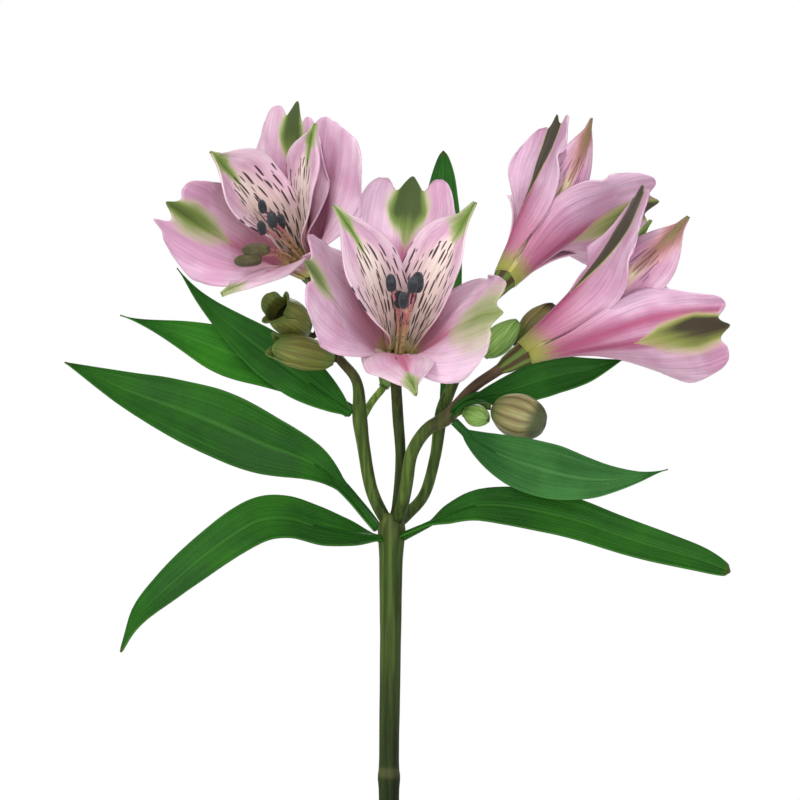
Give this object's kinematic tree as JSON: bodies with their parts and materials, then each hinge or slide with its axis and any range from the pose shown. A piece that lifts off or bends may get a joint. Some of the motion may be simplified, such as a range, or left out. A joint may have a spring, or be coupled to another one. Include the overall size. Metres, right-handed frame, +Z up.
{
  "type": "potted peruvian lily",
  "caption": "Peruvian lily with streaked pink flowers, buds and lance-shaped leaves on an upright stem, growing in a plain terracotta pot.",
  "frame": {"origin": "the middle of the pot's flat bottom, on the surface that the pot stands on", "axes": "+Z up along the stem, +X to the right and -Y towards a viewer who sees the middle flower from its front"},
  "size_m": [0.1739, 0.13, 0.3436],
  "materials": {
    "pot": "matte unglazed terracotta",
    "soil": "matte crumbly earth",
    "stem": "satin green stem",
    "leaf": "satin leaf",
    "dark_leaf": "satin leaf",
    "petal": "soft satin petal",
    "inner_petal": "soft satin petal",
    "anther": "matte pollen",
    "bud": "satin bud"
  },
  "bodies": {
    "root": {"pot": "pot", "soil": "soil", "flower_stem": "stem", "leaf_left": "leaf", "leaf_hanging": "leaf", "leaf_right": "leaf", "leaf_low_right": "leaf", "leaf_low_left": "leaf", "bract_left_low": "dark_leaf", "bract_left_high": "dark_leaf", "bract_right_dark": "dark_leaf", "bract_right_blue": "dark_leaf", "bract_back": "dark_leaf", "bud_left_closed": "bud", "bud_left_open": "bud", "bud_right_top": "bud", "bud_right_inner": "bud", "bud_right_round": "bud", "bud_right_small": "bud", "bud_hidden": "bud", "flower_middle_outer_petals": "petal", "flower_middle_inner_petals": "inner_petal", "flower_middle_stamens": "anther", "flower_left_outer_petals": "petal", "flower_left_inner_petals": "inner_petal", "flower_left_stamens": "anther", "flower_back_outer_petals": "petal", "flower_back_inner_petals": "inner_petal", "flower_back_stamens": "anther", "flower_right_outer_petals": "petal", "flower_right_inner_petals": "inner_petal", "flower_right_stamens": "anther"}
  },
  "joints": []
}
